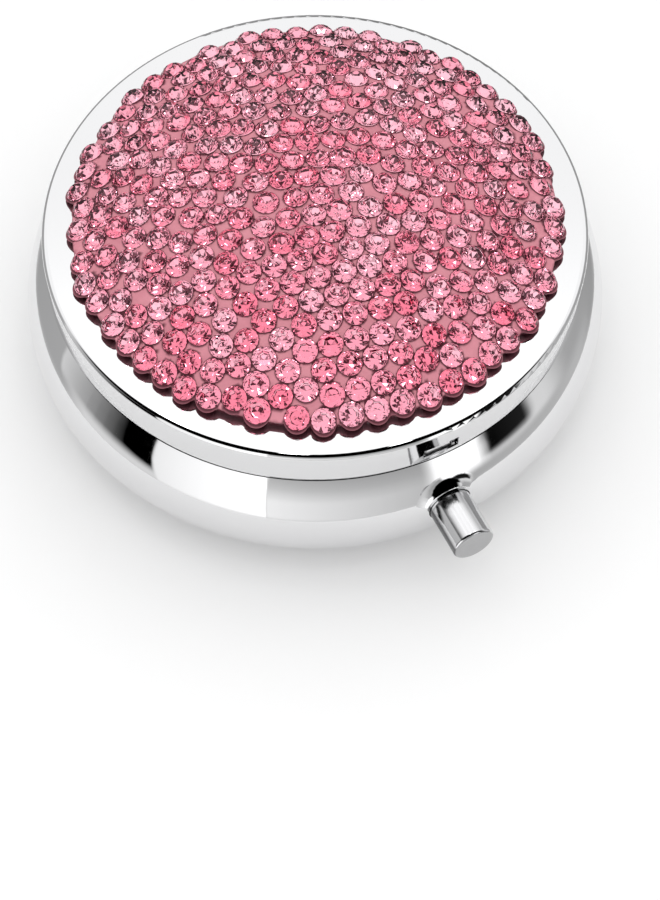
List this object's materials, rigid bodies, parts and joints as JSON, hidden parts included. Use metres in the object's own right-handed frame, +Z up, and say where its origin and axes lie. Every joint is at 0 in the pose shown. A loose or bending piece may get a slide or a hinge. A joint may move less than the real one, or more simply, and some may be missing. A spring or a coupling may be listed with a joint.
{
  "type": "pill case",
  "caption": "Round metal pill case with a push-button latch, hinged mirror lid set with pink rhinestones and a three-compartment tray.",
  "frame": {"origin": "centre of the flat foot that the case rests on", "axes": "+Z up out of the foot, -Y along the push button, +Y towards the hinge"},
  "size_m": [0.05, 0.0544, 0.023],
  "materials": {
    "case_chrome": "polished plating",
    "lid_chrome": "polished plating, rolled edge",
    "neck_chrome": "polished plating",
    "hinge_chrome": "polished plating",
    "button_chrome": "turned and polished",
    "latch_steel": "pressed and tumbled",
    "guide_brass": "dull pressed sheet",
    "spring_steel": "drawn wire",
    "tray_plastic": "moulded, satin",
    "mirror_glass": "silvered glass",
    "pad_adhesive": "foam tape",
    "ring_chrome": "polished plating",
    "bed_clay": "cured epoxy clay, fine matt",
    "pink_crystal": "foil-backed faceted glass"
  },
  "bodies": {
    "case": {"base_shell": "case_chrome", "neck_ring": "neck_chrome", "compartment_tray": "tray_plastic", "hinge_bracket": "hinge_chrome", "hinge_pin": "hinge_chrome", "latch_guide": "guide_brass", "button_spring": "spring_steel"},
    "button": {"push_button": "button_chrome", "latch_hook": "latch_steel", "stem_clip": "spring_steel"},
    "lid": {"lid_shell": "lid_chrome", "lid_hinge_leaf": "hinge_chrome", "mirror": "mirror_glass", "mirror_pad": "pad_adhesive", "mirror_ring": "ring_chrome", "stone_bed": "bed_clay", "rhinestones_rim": "pink_crystal", "rhinestones_outer": "pink_crystal", "rhinestones_middle": "pink_crystal", "rhinestones_inner": "pink_crystal"}
  },
  "joints": [
    {"name": "lid_hinge", "type": "hinge", "parent": "case", "child": "lid", "pos_m": [0, 0.024, 0.0126], "axis": [-1, 0, 0], "range_deg": [0, 95]},
    {"name": "button_press", "type": "slide", "parent": "case", "child": "button", "axis": [0, 1, 0], "range_m": [0, 0.001], "stiffness_N_per_m": 1500, "deforming": ["button_spring"]}
  ]
}
